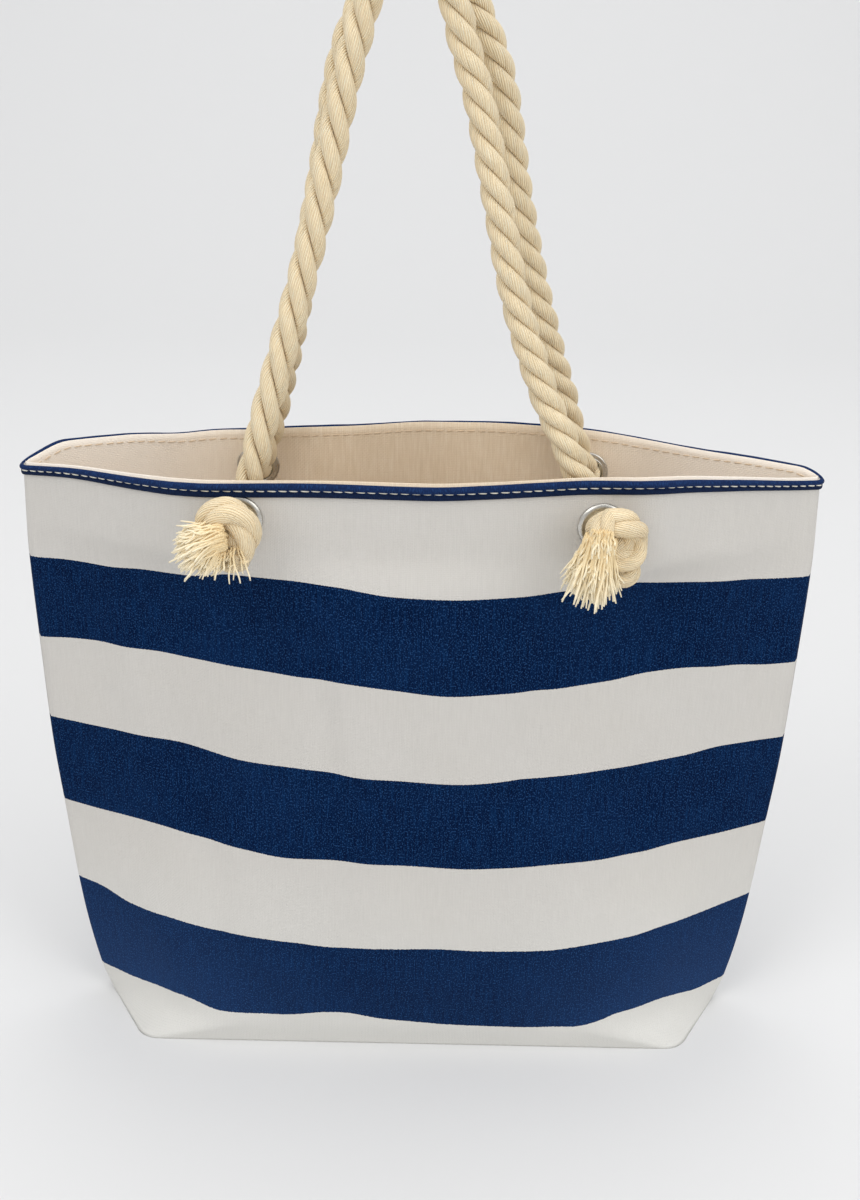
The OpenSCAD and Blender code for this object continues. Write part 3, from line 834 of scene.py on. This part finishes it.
def stitches(name, side, e, dz, pitch, length, thick, inside=False):
    """a row of separate thread lengths along the rim"""
    t = np.linspace(-1, 1, 900)
    xr = section(np.full_like(t, 372.0), t, 0.0)[0]
    top = rim_height(side, xr)
    zz = top + dz * band_scale(xr)
    x, y, nx, ny = body_point(side, t, zz, e)
    p = np.stack([x, y, zz], -1)
    s = np.concatenate([[0], np.cumsum(np.linalg.norm(np.diff(p, axis=0), axis=1))])
    N = np.stack([nx, ny, np.zeros_like(nx)], -1)
    if inside:
        N = -N
    count = int((s[-1] - 6) / pitch)
    verts, faces, uvs = [], [], []
    off = 0
    rings, sides = 7, 8
    r2 = np.random.default_rng(5 + side)
    for k in range(count):
        c = 4 + (k + 0.5) * pitch + r2.uniform(-0.25, 0.25)
        L = length * r2.uniform(0.93, 1.07)
        q = np.linspace(-0.5, 0.5, rings)
        at = c + q * L
        P = np.stack([np.interp(at, s, p[:, i]) for i in range(3)], -1)
        M = np.stack([np.interp(at, s, N[:, i]) for i in range(3)], -1)
        T = P[-1] - P[0]
        T /= np.linalg.norm(T)
        B = np.cross(T, M)
        prof = np.sqrt(np.clip(1 - (2 * q) ** 4, 0.02, 1))
        lift = thick * (0.9 - 2.6 * q * q) - 0.25
        tilt = 0.35 * q * (1 if side < 0 else -1)
        a = np.linspace(0, 2 * math.pi, sides, endpoint=False)
        ring = P[:, None] + (lift[:, None] * M)[:, None] + tilt[:, None, None] * B[:, None] + thick * prof[:, None, None] * (np.cos(a)[None, :, None] * M[:, None] + np.sin(a)[None, :, None] * B[:, None])
        verts.append(ring.reshape(-1, 3))
        f = grid_faces(rings, sides, off, True, True).tolist()
        f += [[off + i for i in range(sides)], [off + (rings - 1) * sides + i for i in range(sides - 1, -1, -1)]]
        faces += f
        off += rings * sides
    ob = make_mesh(name, np.concatenate(verts), faces)
    dress(ob, THREAD_IN if inside else THREAD)
    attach(ob, "bag")
    return ob


for side, w in ((-1, "front"), (1, "back")):
    rim_strip("band_" + w, side)
    stitches("topstitch_" + w, side, -1.3, -4.25, 5.8, 4.9, 0.42)
    stitches("topstitch_inside_" + w, side, 2.5, -5.4, 6.0, 4.6, 0.32, inside=True)

# metal rings: rounded profiles turned about the hole, as (radius, height out from the cloth)
EYELET = [(8.35, -3.3), (8.32, 0.5), (8.6, 1.25), (9.3, 1.75), (10.3, 1.95), (11.4, 1.9), (12.4, 1.5), (13.1, 0.95), (13.45, 0.4), (13.4, 0.1), (12.9, 0.06), (9.0, 0.06), (8.95, -3.3), (9.1, -3.62), (9.6, -3.6), (10.1, -3.75), (10.15, -4.15), (9.7, -4.5), (9.0, -4.5), (8.5, -4.1)]
WASHER = [(9.35, -2.62), (9.3, -3.2), (9.6, -3.45), (10.6, -3.5), (11.6, -3.35), (12.3, -3.0), (12.4, -2.75), (12.2, -2.62)]


def ring(name, profile, ex, side, node):
    n = 72
    a = np.linspace(0, 2 * math.pi, n, endpoint=False)
    pr = np.array(profile)
    m = len(pr)
    # finer steps round the profile
    x = ex + pr[None, :, 0] * np.cos(a)[:, None]
    z = EYE_HEIGHT[side] + pr[None, :, 0] * np.sin(a)[:, None]
    y = np.broadcast_to(side * (WALL + pr[None, :, 1]), x.shape)
    v = np.stack([x, y, z], -1).reshape(-1, 3)
    j, i = np.meshgrid(np.arange(n), np.arange(m), indexing="ij")
    k, l = (j + 1) % n, (i + 1) % m
    f = np.stack([j * m + i, k * m + i, k * m + l, j * m + l], -1).reshape(-1, 4)
    if side < 0:
        f = f[:, ::-1]
    ob = make_mesh(name, v, f.tolist())
    sub = ob.modifiers.new("round", "SUBSURF")
    sub.levels = sub.render_levels = 1
    dress(ob, METAL)
    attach(ob, "bag")
    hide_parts(node)
    return ob


for w, ex, side in (("front_left", -96, -1), ("front_right", 96, -1), ("back_left", -96, 1), ("back_right", 96, 1)):
    ring("ring_eyelet_" + w, EYELET, ex, side, "eyelet_" + w)
    ring("ring_washer_" + w, WASHER, ex, side, "washer_" + w)

# ---------------------------------------------------------------- knots and frayed ends

# each knot: passes of the rope as (sideways, up, out from the cloth, radius)
KNOT_LEFT = [
    [(0, 0, 4.3, 7.6), (0, 0, 8, 7.6), (-4, -1, 12, 7.6), (-10, 1, 15, 7.8), (-12, 6, 18, 8.0), (-8, 11, 20.5, 8.4), (-1, 12.5, 21.5, 8.8), (5, 8, 21, 8.8), (7, 0, 20, 8.4), (5, -8, 19, 7.6), (0, -13.5, 18, 7.4), (-6, -12, 15, 6.8), (-9, -4, 14, 6.6), (-6, 1, 18, 6.8), (-3, 1, 21, 6.0)],
    [(-9, -8, 12, 6.4), (-4, -14, 17, 7.0), (1, -16, 20, 6.8), (4, -11, 22, 5.6)],
    [(-5, 4, 13, 5.6), (-1, 2, 17, 6.6), (1, -3, 19.5, 6.6), (-1, -8, 20, 5.6)],
]
KNOT_RIGHT = [
    [(0, 0, 4.3, 7.6), (0, 0, 8, 7.6), (-3, 4, 12, 7.6), (-3, 8, 17, 7.8), (3, 11, 20, 8.2), (10, 9.5, 19.5, 8.0), (15, 5, 15, 7.0), (16, 0, 11.5, 6.6), (16.5, -6, 14, 7.0), (13.5, -9, 19, 7.4), (7, -9, 21, 7.0), (1, -4, 19, 6.8), (1, 1, 21, 6.0)],
    [(5, -8, 8, 5.2), (12, -15, 12, 5.8), (14, -18, 17, 6.2), (9, -20, 20.5, 6.2), (2, -14, 20, 5.4)],
    [(3, 5, 13, 5.0), (1, 12, 18, 6.0), (-2, 11, 23.5, 6.8), (-4, 5, 26, 7.0), (-5, -1, 26.5, 6.8), (-6, -6, 26, 5.4)],
    [(8, 4, 11, 5.6), (9, 0, 15, 6.8), (7, -4, 18, 6.8), (3, -6, 20, 5.8)],
]


def lowered(passes, tuft):
    """the knots at the back hang a little lower on their necks and face the other way"""
    drop = lambda out: 8.0 * float(smooth(8, 18, out))
    ps = [[(-x, y - drop(o), o, r) for x, y, o, r in p] for p in passes]
    tf = [((-r[0], r[1] - 8, r[2]), sp, (-d[0],) + tuple(d[1:]), fan, ln, c, th) for r, sp, d, fan, ln, c, th in tuft]
    return ps, tf


def wall_to_world(p, ex, side):
    p = np.asarray(p, float)
    return np.stack([ex + p[..., 0], side * (WALL + p[..., 2]), EYE_HEIGHT[side] + p[..., 1]], -1)


def knot(name, passes, ex, side, node, phase, mirror=1):
    parts = []
    for k, pts in enumerate(passes):
        path = catmull([(mirror * a[0],) + tuple(a[1:3]) for a in pts], 10)
        rr = catmull([(a[3], 0, 0) for a in pts], 10)[:, 0]
        d = np.concatenate([[0], np.cumsum(np.linalg.norm(np.diff(path, axis=0), axis=1))])
        path2, length = resample(path, 0.9)
        rad = np.interp(np.linspace(0, length, len(path2)), d, rr)
        path2 = soften(path2, 6)
        w = wall_to_world(path2, ex, side)
        parts.append(strands(w, 66 if k == 0 else 40, 3.75, 4.6, 20, phase + k, taper=rad / 8.3))
    ob = strand_object(name, parts, KNOT_ROPE)
    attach(ob, "bag")
    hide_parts(node)
    return ob


def yarns(name, ex, side, node, bundles, seed):
    """loose yarns: each bundle is root, spread of the root, main direction, fan directions, lengths, count"""
    r = np.random.default_rng(seed)
    verts, faces, uvs = [], [], []
    off = 0
    rings, sides = 9, 6
    for root, spread, d0, fan, (l0, l1), count, thick in bundles:
        root, d0 = np.array(root, float), np.array(d0, float)
        d0 /= np.linalg.norm(d0)
        a = np.cross(d0, (0, 0, 1.0))
        a /= np.linalg.norm(a)
        b = np.cross(d0, a)
        for _ in range(count):
            ang, rad = r.uniform(0, 2 * math.pi), math.sqrt(r.uniform(0, 1))
            start = root + spread * rad * (math.cos(ang) * a + math.sin(ang) * b) - d0 * 3
            out = fan[0] * rad * math.cos(ang) * a + fan[1] * rad * math.sin(ang) * b
            d = d0 + out + r.normal(0, 0.06, 3)
            d /= np.linalg.norm(d)
            L = r.uniform(l0, l1)
            bend = r.normal(0, 0.11, 3) + np.array((0, -0.24 * (1 - abs(d0[1])) - 0.06, 0))
            q = np.linspace(0, 1, rings)
            P = start + np.outer(q * L, d) + np.outer(q * q * L, bend) + np.outer(np.sin(q * r.uniform(6, 13) + ang) * 0.55, r.normal(0, 1, 3))
            P = wall_to_world(P, ex, side)
            t, u, w = frames(P)
            rr = thick * r.uniform(0.8, 1.15) * np.interp(q, [0, 0.85, 1], [1, 1, 0.75])
            c = np.linspace(0, 2 * math.pi, sides, endpoint=False)
            ring = P[:, None] + rr[:, None, None] * (np.cos(c)[None, :, None] * u[:, None] + np.sin(c)[None, :, None] * w[:, None])
            verts.append(ring.reshape(-1, 3))
            f = grid_faces(rings, sides, off, True, True).tolist()
            f += [[off + i for i in range(sides)], [off + (rings - 1) * sides + i for i in range(sides - 1, -1, -1)]]
            faces += f
            g = np.stack([np.broadcast_to(np.arange(sides) / sides + ang, (rings, sides)), np.broadcast_to(q[:, None], (rings, sides))], -1).reshape(-1, 2)
            uvs.append(g)
            off += rings * sides
    uv = np.concatenate(uvs)
    ob = make_mesh(name, np.concatenate(verts), faces, np.concatenate([uv[np.asarray(f)] for f in faces]))
    dress(ob, YARN)
    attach(ob, "bag")
    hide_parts(node)
    return ob


TUFT_LEFT = [
    ((-6, 2, 26), 7.2, (-0.97, -0.16, 0.03), (0.14, 0.28), (16, 23), 540, 0.54),
    ((-9, -6, 24), 6.5, (-0.66, -0.74, 0.04), (0.18, 0.26), (9, 15), 260, 0.54),
    ((-3, -9, 25), 4.0, (-0.1, -1.0, 0.0), (0.16, 0.2), (5, 9), 30, 0.52),
    ((2, -7, 26.5), 2.5, (0.1, -1.0, 0.08), (0.25, 0.25), (12, 20), 6, 0.42),
]
TUFT_RIGHT = [
    ((-4, 3, 26), 7.6, (-0.12, -0.99, 0.0), (0.10, 0.14), (25, 31), 480, 0.56),
    ((-6, 0, 25), 6.5, (-0.26, -0.96, 0.0), (0.14, 0.2), (13, 21), 320, 0.56),
    ((-5, -9, 28), 5.5, (-0.25, -0.85, 0.45), (0.3, 0.3), (4, 10), 200, 0.56),
    ((-3.5, 7, 28), 5.6, (-0.10, -0.97, 0.16), (0.10, 0.10), (7, 15), 150, 0.52),
]
made = {}
for w, ex, side, passes, tuft, phase in (
    ("front_left", -96, -1, KNOT_LEFT, TUFT_LEFT, 0.4),
    ("front_right", 96, -1, KNOT_RIGHT, TUFT_RIGHT, 1.3),
    ("back_left", -96, 1, KNOT_RIGHT, TUFT_RIGHT, 0.9),
    ("back_right", 96, 1, KNOT_LEFT, TUFT_LEFT, 2.0),
):
    if side > 0:
        passes, tuft = lowered(passes, tuft)
    made["knot_" + w] = knot("rope_knot_" + w, passes, ex, side, "knot_" + w, phase)
    made["tuft_" + w] = yarns("yarn_tuft_" + w, ex, side, "frayed_end_" + w, tuft, 20 + len(made))

for side, w, route, lays in (
    (-1, "front", FRONT_ROUTE, ([0, 0.35, 0.5, 1], [58, 52, 46, 44])),
    (1, "back", BACK_ROUTE, ([0, 1], [46, 46])),
):
    ob, pts, length = handle("handle_rope_" + w, route, side, lays)
    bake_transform(ob)
    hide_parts("rope_loop_" + w, f"rope_end_{w}_left", f"rope_end_{w}_right")
    print("handle", w, "length", round(length, 1))
